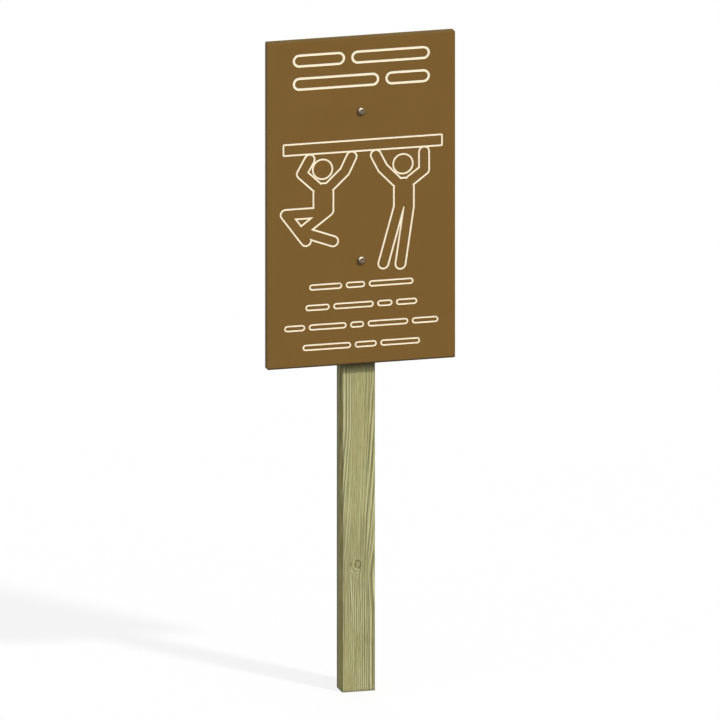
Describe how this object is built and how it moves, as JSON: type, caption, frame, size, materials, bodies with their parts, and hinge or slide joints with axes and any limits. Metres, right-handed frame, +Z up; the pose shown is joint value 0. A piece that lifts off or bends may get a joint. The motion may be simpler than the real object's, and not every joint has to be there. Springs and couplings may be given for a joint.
{
  "type": "park interpretation sign",
  "caption": "Flat rectangular engraved board held upright on the front of a rectangular timber post by through bolts, for a park path.",
  "frame": {"origin": "centre of the post's foot face", "axes": "+Z up along the post, -Y out of the board towards the reader, +X to the reader's right"},
  "size_m": [0.4, 0.0925, 1.397],
  "materials": {
    "treated_pine": "planed softwood with a green pressure treatment, upright grain and one knot",
    "brown_board": "satin brown board, engraved lines filled with cream paint",
    "zinc_steel": "plain zinc-coated steel, satin",
    "nylon": "off-white nylon"
  },
  "bodies": {
    "root": {"post": "treated_pine", "sign_panel": "brown_board", "upper_bolt": "zinc_steel", "upper_washer": "zinc_steel", "upper_nut": "zinc_steel", "upper_nut_ring": "nylon", "lower_bolt": "zinc_steel", "lower_washer": "zinc_steel", "lower_nut": "zinc_steel", "lower_nut_ring": "nylon"}
  },
  "joints": []
}
